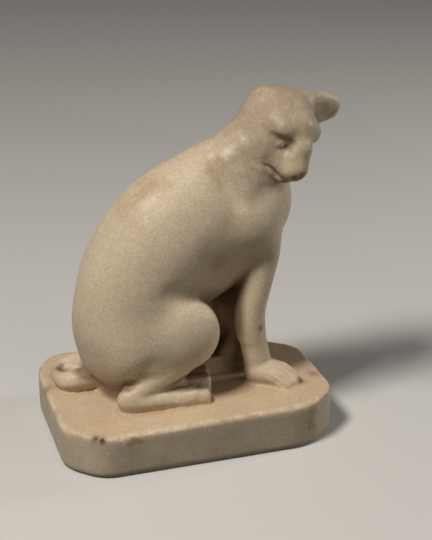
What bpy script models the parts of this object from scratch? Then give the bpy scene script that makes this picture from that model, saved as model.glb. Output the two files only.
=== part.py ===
"""Seated cat on its plinth, carved from one block of pale marble.

The cat faces +X and turns its head to its right, towards -Y. The origin is the middle of the
plinth's flat underside. Every form of the figure is a rounded mass or limb, and each one is
blended into those before it, as a carver dresses one mass into the next.
"""

import math

import bmesh
import bpy
import numpy as np
from mathutils import Euler, Matrix, Vector

# Driving dimensions, in metres
FIGURE_HEIGHT = 0.262  # from the plinth's top to the crown of the head
PLINTH_LENGTH = 0.238
PLINTH_WIDTH = 0.180
PLINTH_REAR_HEIGHT = 0.037
PLINTH_FRONT_HEIGHT = 0.041
PLINTH_CORNER_ROUND = 0.010
PLINTH_EDGE_ROUND = 0.004
PLINTH_FOOT_WEAR = 0.005  # how high the worn lower edge reaches
FIGURE_RIGHT_SHIFT = 0.0015  # how far the figure's own origin stands towards -Y on the plinth

# The figure's own places and sizes are shares of its height: one share is a 262nd of it
SHARE = FIGURE_HEIGHT / 262.0
MIDDLE = -8.0  # sideways place of the cat's own middle plane, in shares

ROUGH_VOXEL = 0.0027
RIM_STEP = 0.0006
SOLID_TRIANGLES = 9000
COLLECTION = "seated_cat_statue"
NODE = "cat_and_plinth"


def smooth_stations(stations, steps):
    """Fills in a smooth run of stations between the given ones, as rows of numbers."""
    given = np.array(stations, float)
    if steps == 1:
        return given
    padded = np.vstack([2 * given[0] - given[1], given, 2 * given[-1] - given[-2]])
    rows = []
    for n in range(1, len(padded) - 2):
        before, start, end, after = padded[n - 1 : n + 3]
        for step in range(steps):
            t = step / steps
            rows.append(
                start
                + 0.5 * t * (end - before)
                + t * t * (before - 2.5 * start + 2 * end - 0.5 * after)
                + t**3 * (1.5 * (start - end) + 0.5 * (after - before))
            )
    rows.append(given[-1])
    return np.array(rows)


class Limb:
    """A rounded limb through stations of x, y, z, radius and spread.

    Spread is how many times wider the limb is across than along its side view.
    """

    def __init__(self, stations, blend=6.0, across=(0, 1, 0), steps=1, cut=False):
        self.stations = smooth_stations(stations, steps)
        self.blend = blend
        self.cut = cut
        self.across = np.array(across, float) / np.linalg.norm(across)
        self.centre = self.stations[:, :3].mean(axis=0)
        away = np.linalg.norm(self.stations[:, :3] - self.centre, axis=1)
        self.reach = (away + self.stations[:, 3] * np.maximum(self.stations[:, 4], 1)).max()

    def distance(self, points):
        found = np.full(len(points), 1e9)
        for first, second in zip(self.stations[:-1], self.stations[1:]):
            start, axis = first[:3], second[:3] - first[:3]
            place = points - start
            share = np.clip(place @ axis / (axis @ axis), 0, 1)
            spread = first[4] + (second[4] - first[4]) * share
            place = place + np.outer(place @ self.across * (1 / spread - 1), self.across)
            squeeze = 2 / (first[4] + second[4]) - 1
            axis = axis + axis @ self.across * squeeze * self.across
            length = np.linalg.norm(axis)
            axis = axis / length
            slope = (first[3] - second[3]) / length
            rise = math.sqrt(max(1 - slope * slope, 1e-6))
            along = place @ axis
            out = np.sqrt(np.maximum((place * place).sum(axis=1) - along * along, 0))
            reach = along - out * slope / rise
            side = out * rise + along * slope - first[3]
            at_start = np.sqrt(out * out + along * along) - first[3]
            at_end = np.sqrt(out * out + (along - length) ** 2) - second[3]
            here = np.where(reach < 0, at_start, np.where(reach > length, at_end, side))
            found = np.minimum(found, here * np.minimum(1.0, spread))
        return found

    def rough_mesh(self, mesh):
        for pair in zip(self.stations[:-1], self.stations[1:]):
            hull = bmesh.new()
            for x, y, z, radius, spread in pair:
                stretch = Matrix.Scale(spread, 4, Vector(self.across))
                place = Matrix.Translation((x, y, z)) @ stretch
                bmesh.ops.create_uvsphere(hull, u_segments=20, v_segments=12, radius=radius, matrix=place)
            made = bmesh.ops.convex_hull(hull, input=hull.verts)
            inside = [v for v in made["geom_interior"] if isinstance(v, bmesh.types.BMVert)]
            bmesh.ops.delete(hull, geom=inside, context="VERTS")
            add_to(mesh, hull)


class Mass:
    """An ellipsoid, turned to face its own way."""

    def __init__(self, centre, radii, turn=Matrix.Identity(3), blend=6.0, cut=False):
        self.centre = np.array(centre, float)
        self.radii = np.array(radii, float)
        self.turn = np.array(turn, float)
        self.blend = blend
        self.cut = cut
        self.reach = self.radii.max()

    def distance(self, points):
        local = (points - self.centre) @ self.turn
        near = np.linalg.norm(local / self.radii, axis=1)
        steep = np.linalg.norm(local / self.radii**2, axis=1)
        return near * (near - 1) / np.maximum(steep, 1e-9)

    def rough_mesh(self, mesh):
        ball = bmesh.new()
        bmesh.ops.create_uvsphere(ball, u_segments=28, v_segments=18, radius=1)
        size = Matrix.Diagonal(Vector(self.radii).to_4d())
        size[3][3] = 1
        ball.transform(Matrix.Translation(Vector(self.centre)) @ Matrix(self.turn).to_4x4() @ size)
        add_to(mesh, ball)


class Block:
    """A box with rounded edges, turned to face its own way."""

    def __init__(self, centre, half_sizes, rounding, turn=Matrix.Identity(3), blend=3.0, cut=False):
        self.centre = np.array(centre, float)
        self.half_sizes = np.array(half_sizes, float)
        self.rounding = rounding
        self.turn = np.array(turn, float)
        self.blend = blend
        self.cut = cut
        self.reach = np.linalg.norm(self.half_sizes)

    def distance(self, points):
        local = np.abs((points - self.centre) @ self.turn)
        beyond = local - (self.half_sizes - self.rounding)
        outside = np.linalg.norm(np.maximum(beyond, 0), axis=1)
        inside = np.minimum(beyond.max(axis=1), 0)
        return outside + inside - self.rounding

    def rough_mesh(self, mesh):
        box = bmesh.new()
        bmesh.ops.create_cube(box, size=2)
        size = Matrix.Diagonal(Vector(self.half_sizes).to_4d())
        size[3][3] = 1
        box.transform(Matrix.Translation(Vector(self.centre)) @ Matrix(self.turn).to_4x4() @ size)
        add_to(mesh, box)


def add_to(mesh, piece):
    """Adds one bmesh to another and frees it."""
    loose = bpy.data.meshes.new("loose")
    piece.to_mesh(loose)
    piece.free()
    mesh.from_mesh(loose)
    bpy.data.meshes.remove(loose)


def blended(first, second, width):
    """Joins two distance fields with a fillet of about this width."""
    mix = np.clip(0.5 + 0.5 * (second - first) / width, 0, 1)
    return second * (1 - mix) + first * mix - width * mix * (1 - mix)


# The head's own directions: it is turned to the cat's right, bowed, and leans with the neck
HEAD_TURN = Euler((math.radians(-14), math.radians(18), math.radians(-76)), "XYZ").to_matrix()
HEAD_CENTRE = Vector((80, -15, 226))


def on_head(forward, left, up):
    """A place on the head, from its centre, as a place on the figure."""
    return HEAD_CENTRE + HEAD_TURN @ Vector((forward, left, up))


def torso():
    spine = [
        (-45, MIDDLE, 52, 49, 0.94),
        (-45, MIDDLE, 72, 51, 0.92),
        (-34, MIDDLE, 110, 52, 0.86),
        (-10, MIDDLE, 141, 52.5, 0.82),
        (20, MIDDLE, 165, 46, 0.82),
        (46, MIDDLE - 1, 188, 36, 0.88),
        (66, MIDDLE - 4, 213, 29, 0.95),
    ]
    chest = [
        (0, MIDDLE, 144, 44, 0.84),
        (42, MIDDLE, 157, 49, 0.78),
        (51, MIDDLE, 177, 39, 0.82),
        (66, MIDDLE - 3, 206, 27, 0.95),
    ]
    belly = [
        (-20, MIDDLE, 104, 42, 0.7),
        (20, MIDDLE, 112, 34, 0.7),
        (50, MIDDLE, 130, 24, 0.7),
    ]
    return [Limb(spine, blend=1, steps=4), Limb(chest, blend=6, steps=4), Limb(belly, blend=10, steps=2)]


def hind_leg(side, shift, foot_out, knee_height):
    """One folded hind leg. side is -1 for the right leg; shift moves knee and foot forward."""
    def at(x, out, z, radius, spread=1.0):
        return (x, MIDDLE + side * out, z, radius, spread)

    knee = -12 + shift
    heel = -60 + shift
    forms = [
        Limb([at(-42, 26, 54, 38, 0.62), at(knee, 33, knee_height, 33, 0.62)], blend=6),
        Limb([at(knee - 6, foot_out - 5, 37, 16, 0.85), at(heel + 4, foot_out, 13, 9, 0.9)], blend=3),
        Mass((heel, MIDDLE + side * foot_out, 9), (9.5, 9, 11), blend=4),
        Limb([at(heel + 6, foot_out, 7.5, 9, 1.1), at(heel + 46, foot_out + 2, 7, 8, 1.1)], blend=3),
        Limb([at(heel + 44, foot_out + 3, 7, 7.5, 1.1), at(heel + 63, foot_out + 4, 6, 7.5, 1.1)], blend=2),
        Mass((heel + 53, MIDDLE + side * (foot_out + 4), 9), (7, 7, 6), blend=2),
        Mass((heel + 30, MIDDLE + side * (foot_out - 8), 16), (22, 9, 13), blend=4),
        Block((heel + 59, MIDDLE + side * (foot_out - 10), 9.5), (16, 6.5, 10), 5, blend=2),
        Block((heel + 61, MIDDLE + side * (foot_out - 22), 10), (16, 6.5, 10.5), 5, blend=2),
    ]
    return forms


def front_leg(side, paw_yaw, paw_shift):
    """One upright front leg. paw_yaw turns its paw outwards, in degrees."""
    def at(x, out, z, radius, spread=1.0):
        return (x, MIDDLE + side * out, z, radius, spread)

    leg = [
        at(50, 22, 152, 24, 0.8),
        at(68, 18, 124, 14, 0.95),
        at(62, 17, 100, 12.8, 1),
        at(54, 17, 70, 13.2, 1),
        at(55, 16, 48, 12.8, 1),
        at(58, 16, 36, 11.6, 1),
        at(62 + paw_shift, 16, 14, 12, 1),
    ]
    forms = [Limb(leg, blend=8, steps=3)]
    heel = Vector((63 + paw_shift, MIDDLE + side * 18, 8))
    for toe in range(4):
        turn = math.radians(side * (paw_yaw + 14 * (toe - 1.5)))
        ahead = Vector((math.cos(turn), math.sin(turn), 0))
        knuckle = heel + ahead * 19
        tip = heel + ahead * (29 if toe in (1, 2) else 27)
        toe_run = [(*heel[:2], 10, 13, 1), (*knuckle[:2], 9, 7.4, 1), (*tip[:2], 4.5, 6, 1)]
        forms.append(Limb(toe_run, blend=1.5))
    return forms


def far_foot():
    """The left hind foot, left square, and the stone left standing between it and its knee."""
    return [
        Block((14, MIDDLE + 21.5, 6.5), (34.5, 14.5, 9), 2, blend=2),
        Limb([(26, 24, 14, 13, 0.8), (34, 25, 56, 20, 0.7)], blend=4),
    ]


def head():
    turn = HEAD_TURN

    def mass(place, radii, blend=4.0, cut=False):
        return Mass(on_head(*place), radii, turn, blend, cut)

    def limb(start, end, start_radius, end_radius, blend=4.0, spread=1.0, cut=False):
        stations = [(*on_head(*start), start_radius, spread), (*on_head(*end), end_radius, spread)]
        return Limb(stations, blend, HEAD_TURN @ Vector((0, 1, 0)), cut=cut)

    def groove(places, radius, blend):
        """A soft groove whose middle line runs through these places."""
        return Limb([(*on_head(*place), radius, 1) for place in places], blend, cut=True)

    forms = [
        mass((0, 0, 3), (33, 30, 29.5), blend=10),
        limb((12, 0, -7), (36, 0, -19), 19, 10.5, blend=8, spread=1.15),
        limb((22, 0, 12), (34, 0, -1), 13, 9.5, blend=6),
        limb((34, 0, -1), (42, 0, -15), 9.5, 8.5, blend=5),
        limb((6, 0, -20), (31, 0, -27), 13, 7.5, blend=4, spread=1.05),
    ]
    for side in (-1, 1):
        drop = 1.5 + 1.5 * side
        forms.append(mass((19.5, side * 14, 12 - drop / 2), (12.5, 10.5, 8.5), blend=7))
        forms.append(mass((5, side * 18, -12), (18, 13, 14), blend=8))
        forms.append(mass((34.5, side * 16, -1 - drop), (6, 6.5, 5), blend=6, cut=True))
        brow = [(25, side * 25, 3.5), (31, side * 18, 4.5), (37, side * 11, 4.5 - drop)]
        forms.append(groove(brow, 1.8, 4))
        mouth = [(26.8, side * 23.6, -23.4), (28.3, side * 18.1, -23.6), (30.3, side * 14.1, -25.8)]
        mouth += [(32.4, side * 9.6, -29), (36.2, side * 5.4, -33)]
        forms.append(groove(mouth, 1.5, 1.5))
        forms.append(mass((25.5, side * 13, -2 - drop), (4.5, 6, 4.5), blend=2))
    return forms


def ears():
    """The left ear stands out sideways; the right one is broken off to a low stump."""
    thin = HEAD_TURN @ Vector((1, 0, 0))
    blade = [
        (*on_head(-2, 20, 15), 18, 0.5),
        (*on_head(-2.5, 37, 18), 15.5, 0.48),
        (*on_head(-3, 48.5, 18.5), 12, 0.45),
    ]
    return [
        Limb(blend=6, stations=blade, across=thin),
        Mass(on_head(16.5, 42, 15.5), (14.5, 26, 19), HEAD_TURN, blend=2, cut=True),
        Mass(on_head(-7, -13, 10), (18, 15, 19), HEAD_TURN, blend=8),
    ]


def neck_muscle():
    """The ridge and the crease where the turned neck meets the right shoulder."""
    return [
        Limb([(28, -18, 209, 9, 1), (39, -25, 204, 10, 1), (47, -29, 188, 9, 1)], blend=10, steps=3),
        Limb(
            [(22, -35, 204, 3, 1), (26, -43, 197, 5, 1), (31, -48, 187, 5.5, 1), (37, -50, 177, 4, 1)],
            blend=8,
            steps=2,
            cut=True,
        ),
    ]


def tail():
    path = [
        (-62, 12, 11, 12, 1),
        (-76, 9, 9, 10.5, 1),
        (-90, 8, 8, 9.5, 1),
        (-100, 11, 6.5, 8, 1),
        (-104, 24, 5, 5.5, 1),
        (-103.5, 38, 5, 5.5, 1),
        (-100, 50, 6, 7.5, 1),
        (-92, 53, 7.5, 9, 1),
        (-84, 47, 9, 11, 1),
        (-78, 37, 10, 12.5, 1),
    ]
    return [Limb(path, blend=3, steps=3)]


def figure_forms():
    return (
        torso()
        + head()
        + ears()
        + neck_muscle()
        + front_leg(1, -4, -16)
        + front_leg(-1, 33, 0)
        + hind_leg(1, 36, 30, 54)[:3]
        + far_foot()
        + hind_leg(-1, 0, 38, 61)
        + tail()
    )


def figure_distance(points, forms):
    """Distance from the blended figure, in shares, for points in shares.

    A form that is too far from a point to matter there is passed over.
    """
    found = forms[0].distance(points)
    for form in forms[1:]:
        sign = -1 if form.cut else 1
        clear = np.linalg.norm(points - form.centre, axis=1) - form.reach
        near = np.flatnonzero(clear < sign * found + form.blend)
        if len(near):
            close = sign * found[near]
            found[near] = sign * blended(close, form.distance(points[near]), form.blend)
    return found


def plinth_top(x):
    """Height of the plinth's top, which rises a little towards the front."""
    share = np.clip(x / PLINTH_LENGTH + 0.5, 0, 1)
    return PLINTH_REAR_HEIGHT + (PLINTH_FRONT_HEIGHT - PLINTH_REAR_HEIGHT) * share


# The plinth's sides: which way each one faces, in degrees, how far it stands from the middle at
# the top, and how much nearer it stands at the bottom
PLINTH_SIDES = (
    (0, PLINTH_LENGTH / 2, 0),
    (49, 0.0985, 0),
    (86.3, PLINTH_WIDTH / 2 - 0.0105, 0),
    (142, 0.1295, 0),
    (178, PLINTH_LENGTH / 2 - 0.001, 0.0005),
    (223, 0.1290, -0.0003),
    (271, PLINTH_WIDTH / 2 - 0.001, 0.0017),
    (312, 0.1235, 0),
)


def plinth_distance(points):
    """Distance from the plinth: an oblong with worn corners cut across and worn edges."""
    plan = np.full(len(points), -1.0)
    depth = 1 - points[:, 2] / PLINTH_REAR_HEIGHT
    for facing, away, lean in PLINTH_SIDES:
        side = points[:, 0] * math.cos(math.radians(facing)) + points[:, 1] * math.sin(math.radians(facing))
        plan = -blended(-plan, away - lean * depth - side, PLINTH_CORNER_ROUND)
    plan = plan + np.maximum(PLINTH_FOOT_WEAR - points[:, 2], 0) ** 2 / (2 * PLINTH_FOOT_WEAR)
    above = points[:, 2] - plinth_top(points[:, 0])
    below = -0.006 - points[:, 2]
    sides = np.stack([plan, above, below], axis=1) + PLINTH_EDGE_ROUND
    outside = np.linalg.norm(np.maximum(sides, 0), axis=1)
    return outside + np.minimum(sides.max(axis=1), 0) - PLINTH_EDGE_ROUND


def figure_place():
    """Where the figure's own origin stands: on the plinth's top."""
    return np.array([0.0, -FIGURE_RIGHT_SHIFT, (PLINTH_REAR_HEIGHT + PLINTH_FRONT_HEIGHT) / 2])


FOOT_FILLET = 0.004


def statue_distance(points, forms):
    """Distance from the whole statue, in metres, for points in metres."""
    figure = figure_distance((points - figure_place()) / SHARE, forms) * SHARE
    return blended(figure, plinth_distance(points), FOOT_FILLET)


def dressed(points, distance, steps=5, reach=0.004):
    """Moves each point onto the surface where the distance is nothing."""
    small = 0.0002
    for _ in range(steps):
        here = distance(points)
        slope = np.stack(
            [(distance(points + small * axis) - here) / small for axis in np.eye(3)], axis=1
        )
        size = np.maximum((slope**2).sum(axis=1), 0.05)
        move = slope * (here / size)[:, None]
        length = np.linalg.norm(move, axis=1)
        move *= np.minimum(1, reach / np.maximum(length, 1e-9))[:, None]
        points = points - move
    return points


def rough_block(forms):
    """The roughed-out statue: all its forms and the plinth's slab, welded into one skin."""
    mesh = bmesh.new()
    for form in forms:
        if not form.cut:
            form.rough_mesh(mesh)
    place = Matrix.Translation(Vector(figure_place())) @ Matrix.Scale(SHARE, 4)
    mesh.transform(place)
    slab = bmesh.new()
    bmesh.ops.create_cube(slab, size=1)
    top = PLINTH_FRONT_HEIGHT
    slab.transform(
        Matrix.Translation((0, 0, top / 2 - 0.003))
        @ Matrix.Diagonal((PLINTH_LENGTH, PLINTH_WIDTH, top + 0.006, 1))
    )
    for facing, away, _ in PLINTH_SIDES:
        out = Vector((math.cos(math.radians(facing)), math.sin(math.radians(facing)), 0))
        cut = bmesh.ops.bisect_plane(
            slab, geom=[*slab.verts, *slab.edges, *slab.faces], plane_co=out * away, plane_no=out, clear_outer=True
        )
        edges = [e for e in cut["geom_cut"] if isinstance(e, bmesh.types.BMEdge)]
        if edges:
            bmesh.ops.contextual_create(slab, geom=edges)
    add_to(mesh, slab)
    data = bpy.data.meshes.new(NODE)
    mesh.to_mesh(data)
    mesh.free()
    return data


def evaluated_mesh(obj):
    """The object's mesh with its modifiers applied."""
    graph = bpy.context.evaluated_depsgraph_get()
    return bpy.data.meshes.new_from_object(obj.evaluated_get(graph))


def welded_skin(obj, voxel):
    """Remeshes the object's overlapping forms into one closed skin, in place."""
    remesh = obj.modifiers.new("weld", "REMESH")
    remesh.mode = "VOXEL"
    remesh.voxel_size = voxel
    skin = evaluated_mesh(obj)
    obj.modifiers.remove(remesh)
    obj.data = skin


def dress_object(obj, distance):
    mesh = obj.data
    points = np.empty(len(mesh.vertices) * 3, np.float32)
    mesh.vertices.foreach_get("co", points)
    points = dressed(points.reshape(-1, 3).astype(float), distance)
    mesh.vertices.foreach_set("co", points.astype(np.float32).ravel())
    mesh.update()


def marble():
    material = bpy.data.materials.new("pale_marble")
    material.use_nodes = True
    shader = material.node_tree.nodes["Principled BSDF"]
    shader.inputs["Base Color"].default_value = (0.66, 0.56, 0.42, 1)
    shader.inputs["Roughness"].default_value = 0.42
    shader.inputs["Metallic"].default_value = 0.0
    return material


def cut_underside(obj):
    """Cuts the statue off flat at the height of nothing and closes the cut with one face."""
    mesh = bmesh.new()
    mesh.from_mesh(obj.data)
    cut = bmesh.ops.bisect_plane(
        mesh,
        geom=[*mesh.verts, *mesh.edges, *mesh.faces],
        plane_co=(0, 0, 0),
        plane_no=(0, 0, -1),
        clear_outer=True,
    )
    rim = [v for v in cut["geom_cut"] if isinstance(v, bmesh.types.BMVert)]
    bmesh.ops.remove_doubles(mesh, verts=rim, dist=RIM_STEP)
    for vertex in mesh.verts:
        if abs(vertex.co.z) < 1e-6:
            vertex.co.z = 0
    rim = [e for e in mesh.edges if e.is_boundary]
    bmesh.ops.contextual_create(mesh, geom=rim)
    bmesh.ops.dissolve_degenerate(mesh, edges=mesh.edges, dist=1e-5)
    bmesh.ops.recalc_face_normals(mesh, faces=mesh.faces)
    mesh.to_mesh(obj.data)
    mesh.free()


def carve_statue(voxel=ROUGH_VOXEL):
    forms = figure_forms()
    statue = bpy.data.objects.new(NODE, rough_block(forms))
    collection = bpy.data.collections.new(COLLECTION)
    bpy.context.scene.collection.children.link(collection)
    collection.objects.link(statue)
    for _ in range(2):
        welded_skin(statue, voxel)
        dress_object(statue, lambda points: statue_distance(points, forms))
    return statue


def thinned(obj, triangles):
    """Thins the skin to about this many triangles, most of them where it curves."""
    count = sum(len(face.vertices) - 2 for face in obj.data.polygons)
    thin = obj.modifiers.new("thin", "DECIMATE")
    thin.ratio = triangles / count
    skin = evaluated_mesh(obj)
    obj.modifiers.remove(thin)
    obj.data = skin


def main():
    for obj in list(bpy.data.objects):
        bpy.data.objects.remove(obj)
    statue = carve_statue()
    thinned(statue, SOLID_TRIANGLES)
    cut_underside(statue)
    statue.data.shade_smooth()
    statue.data.set_sharp_from_angle(angle=math.radians(50))
    statue.data.materials.append(marble())


if __name__ == "__main__":
    main()
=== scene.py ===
import math

import bmesh
import bpy
import numpy as np
from mathutils import Euler, Matrix, Vector


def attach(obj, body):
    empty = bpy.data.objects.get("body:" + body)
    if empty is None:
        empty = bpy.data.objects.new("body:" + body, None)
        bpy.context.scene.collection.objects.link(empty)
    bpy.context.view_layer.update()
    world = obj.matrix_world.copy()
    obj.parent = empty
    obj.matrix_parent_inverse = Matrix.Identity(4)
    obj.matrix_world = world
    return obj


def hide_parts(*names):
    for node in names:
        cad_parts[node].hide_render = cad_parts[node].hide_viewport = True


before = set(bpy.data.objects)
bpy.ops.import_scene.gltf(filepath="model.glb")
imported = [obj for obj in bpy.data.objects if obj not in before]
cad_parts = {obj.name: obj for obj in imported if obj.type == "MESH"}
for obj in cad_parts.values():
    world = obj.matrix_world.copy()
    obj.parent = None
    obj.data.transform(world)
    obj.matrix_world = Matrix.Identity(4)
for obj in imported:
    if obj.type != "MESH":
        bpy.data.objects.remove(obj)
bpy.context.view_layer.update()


# The statue: a seated cat and the plinth under it, carved from one block of fine-grained cream
# marble and rubbed to a satin finish. One ear is broken away, the plinth's edges are chipped, and
# old handling and burial have left warm brown patina on its top and in the hollows.

PLINTH_LENGTH = 0.238
PLINTH_WIDTH = 0.180
PLINTH_REAR_HEIGHT = 0.037
PLINTH_FRONT_HEIGHT = 0.041
PLINTH_CORNER_ROUND = 0.010
PLINTH_EDGE_ROUND = 0.004
PLINTH_FOOT_WEAR = 0.005
FIGURE_HEIGHT = 0.262
FIGURE_PLACE = np.array([0.0, -0.0015, (PLINTH_REAR_HEIGHT + PLINTH_FRONT_HEIGHT) / 2])

# The figure's own places and sizes are shares of its height: one share is a 262nd of it
SHARE = FIGURE_HEIGHT / 262.0
MIDDLE = -8.0

# How wide the fillet is where the figure meets the plinth
FOOT_FILLET = 0.004


def smooth_stations(stations, steps):
    """Fills in a smooth run of stations between the given ones, as rows of numbers."""
    given = np.array(stations, float)
    if steps == 1:
        return given
    padded = np.vstack([2 * given[0] - given[1], given, 2 * given[-1] - given[-2]])
    rows = []
    for n in range(1, len(padded) - 2):
        before, start, end, after = padded[n - 1 : n + 3]
        for step in range(steps):
            t = step / steps
            rows.append(
                start
                + 0.5 * t * (end - before)
                + t * t * (before - 2.5 * start + 2 * end - 0.5 * after)
                + t**3 * (1.5 * (start - end) + 0.5 * (after - before))
            )
    rows.append(given[-1])
    return np.array(rows)


class Limb:
    """A rounded limb through stations of x, y, z, radius and spread."""

    def __init__(self, stations, blend=6.0, across=(0, 1, 0), steps=1, cut=False):
        self.stations = smooth_stations(stations, steps)
        self.blend = blend
        self.cut = cut
        self.across = np.array(across, float) / np.linalg.norm(across)
        self.centre = self.stations[:, :3].mean(axis=0)
        reach = np.linalg.norm(self.stations[:, :3] - self.centre, axis=1)
        self.reach = (reach + self.stations[:, 3] * np.maximum(self.stations[:, 4], 1)).max()

    def distance(self, points):
        found = np.full(len(points), 1e9)
        for first, second in zip(self.stations[:-1], self.stations[1:]):
            start, axis = first[:3], second[:3] - first[:3]
            place = points - start
            share = np.clip(place @ axis / (axis @ axis), 0, 1)
            spread = first[4] + (second[4] - first[4]) * share
            place = place + np.outer(place @ self.across * (1 / spread - 1), self.across)
            squeeze = 2 / (first[4] + second[4]) - 1
            axis = axis + axis @ self.across * squeeze * self.across
            length = np.linalg.norm(axis)
            axis = axis / length
            slope = (first[3] - second[3]) / length
            rise = math.sqrt(max(1 - slope * slope, 1e-6))
            along = place @ axis
            out = np.sqrt(np.maximum((place * place).sum(axis=1) - along * along, 0))
            reach = along - out * slope / rise
            side = out * rise + along * slope - first[3]
            at_start = np.sqrt(out * out + along * along) - first[3]
            at_end = np.sqrt(out * out + (along - length) ** 2) - second[3]
            here = np.where(reach < 0, at_start, np.where(reach > length, at_end, side))
            found = np.minimum(found, here * np.minimum(1.0, spread))
        return found

    def rough_mesh(self, mesh):
        for pair in zip(self.stations[:-1], self.stations[1:]):
            hull = bmesh.new()
            for x, y, z, radius, spread in pair:
                stretch = Matrix.Scale(spread, 4, Vector(self.across))
                place = Matrix.Translation((x, y, z)) @ stretch
                bmesh.ops.create_uvsphere(hull, u_segments=20, v_segments=12, radius=radius, matrix=place)
            made = bmesh.ops.convex_hull(hull, input=hull.verts)
            inside = [v for v in made["geom_interior"] if isinstance(v, bmesh.types.BMVert)]
            bmesh.ops.delete(hull, geom=inside, context="VERTS")
            add_to(mesh, hull)


class Mass:
    """An ellipsoid, turned to face its own way."""

    def __init__(self, centre, radii, turn=Matrix.Identity(3), blend=6.0, cut=False):
        self.centre = np.array(centre, float)
        self.radii = np.array(radii, float)
        self.turn = np.array(turn, float)
        self.blend = blend
        self.cut = cut
        self.reach = self.radii.max()

    def distance(self, points):
        local = (points - self.centre) @ self.turn
        near = np.linalg.norm(local / self.radii, axis=1)
        steep = np.linalg.norm(local / self.radii**2, axis=1)
        return near * (near - 1) / np.maximum(steep, 1e-9)

    def rough_mesh(self, mesh):
        ball = bmesh.new()
        bmesh.ops.create_uvsphere(ball, u_segments=28, v_segments=18, radius=1)
        size = Matrix.Diagonal(Vector(self.radii).to_4d())
        size[3][3] = 1
        ball.transform(Matrix.Translation(Vector(self.centre)) @ Matrix(self.turn).to_4x4() @ size)
        add_to(mesh, ball)


class Block:
    """A box with rounded edges, turned to face its own way."""

    def __init__(self, centre, half_sizes, rounding, turn=Matrix.Identity(3), blend=3.0, cut=False):
        self.centre = np.array(centre, float)
        self.half_sizes = np.array(half_sizes, float)
        self.rounding = rounding
        self.turn = np.array(turn, float)
        self.blend = blend
        self.cut = cut
        self.reach = np.linalg.norm(self.half_sizes)

    def distance(self, points):
        local = np.abs((points - self.centre) @ self.turn)
        beyond = local - (self.half_sizes - self.rounding)
        outside = np.linalg.norm(np.maximum(beyond, 0), axis=1)
        inside = np.minimum(beyond.max(axis=1), 0)
        return outside + inside - self.rounding

    def rough_mesh(self, mesh):
        box = bmesh.new()
        bmesh.ops.create_cube(box, size=2)
        size = Matrix.Diagonal(Vector(self.half_sizes).to_4d())
        size[3][3] = 1
        box.transform(Matrix.Translation(Vector(self.centre)) @ Matrix(self.turn).to_4x4() @ size)
        add_to(mesh, box)


def add_to(mesh, piece):
    """Adds one bmesh to another and frees it."""
    loose = bpy.data.meshes.new("loose")
    piece.to_mesh(loose)
    piece.free()
    mesh.from_mesh(loose)
    bpy.data.meshes.remove(loose)


def blended(first, second, width):
    """Joins two distance fields with a fillet of about this width."""
    mix = np.clip(0.5 + 0.5 * (second - first) / width, 0, 1)
    return second * (1 - mix) + first * mix - width * mix * (1 - mix)


# The head's own directions: it is turned to the cat's right, bowed, and leans with the neck
HEAD_TURN = Euler((math.radians(-14), math.radians(18), math.radians(-76)), "XYZ").to_matrix()
HEAD_CENTRE = Vector((80, -15, 226))


def on_head(forward, left, up):
    """A place on the head, from its centre, as a place on the figure."""
    return HEAD_CENTRE + HEAD_TURN @ Vector((forward, left, up))


def torso():
    spine = [
        (-45, MIDDLE, 52, 49, 0.94),
        (-45, MIDDLE, 72, 51, 0.92),
        (-34, MIDDLE, 110, 52, 0.86),
        (-10, MIDDLE, 141, 52.5, 0.82),
        (20, MIDDLE, 165, 46, 0.82),
        (46, MIDDLE - 1, 188, 36, 0.88),
        (66, MIDDLE - 4, 213, 29, 0.95),
    ]
    chest = [
        (0, MIDDLE, 144, 44, 0.84),
        (42, MIDDLE, 157, 49, 0.78),
        (51, MIDDLE, 177, 39, 0.82),
        (66, MIDDLE - 3, 206, 27, 0.95),
    ]
    belly = [
        (-20, MIDDLE, 104, 42, 0.7),
        (20, MIDDLE, 112, 34, 0.7),
        (50, MIDDLE, 130, 24, 0.7),
    ]
    rump = Limb([(-51, -19, 8, 14, 1), (-56, 6, 8, 20, 1)], blend=8)
    return [
        Limb(spine, blend=1, steps=4),
        Limb(chest, blend=6, steps=4),
        Limb(belly, blend=10, steps=2),
        rump,
    ]


def hind_leg(side, shift, foot_out, knee_height):
    """One folded hind leg: thigh, shank and heel, then the foot and the stone left beside it.
    side is -1 for the right leg; shift moves knee and foot forward."""
    def at(x, out, z, radius, spread=1.0):
        return (x, MIDDLE + side * out, z, radius, spread)

    knee = -12 + shift
    heel = -60 + shift
    return [
        Limb([at(-42, 26, 54, 38, 0.62), at(knee, 33, knee_height, 33, 0.62)], blend=6),
        Limb([at(knee - 6, foot_out - 5, 37, 16, 0.85), at(heel + 4, foot_out, 13, 9, 0.9)], blend=3),
        Mass((heel, MIDDLE + side * foot_out, 9), (9.5, 9, 11), blend=4),
        Limb([at(heel + 6, foot_out, 7.5, 9, 1.1), at(heel + 46, foot_out + 2, 7, 8, 1.1)], blend=3),
        Limb([at(heel + 44, foot_out + 3, 7, 7.5, 1.1), at(heel + 63, foot_out + 4, 6, 7.5, 1.1)], blend=2),
        Mass((heel + 53, MIDDLE + side * (foot_out + 4), 9), (7, 7, 6), blend=2),
        Mass((heel + 30, MIDDLE + side * (foot_out - 8), 16), (22, 9, 13), blend=4),
        Block((heel + 59, MIDDLE + side * (foot_out - 10), 9.5), (16, 6.5, 10), 5, blend=2),
        Block((heel + 61, MIDDLE + side * (foot_out - 22), 10), (16, 6.5, 10.5), 5, blend=2),
    ]


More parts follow.
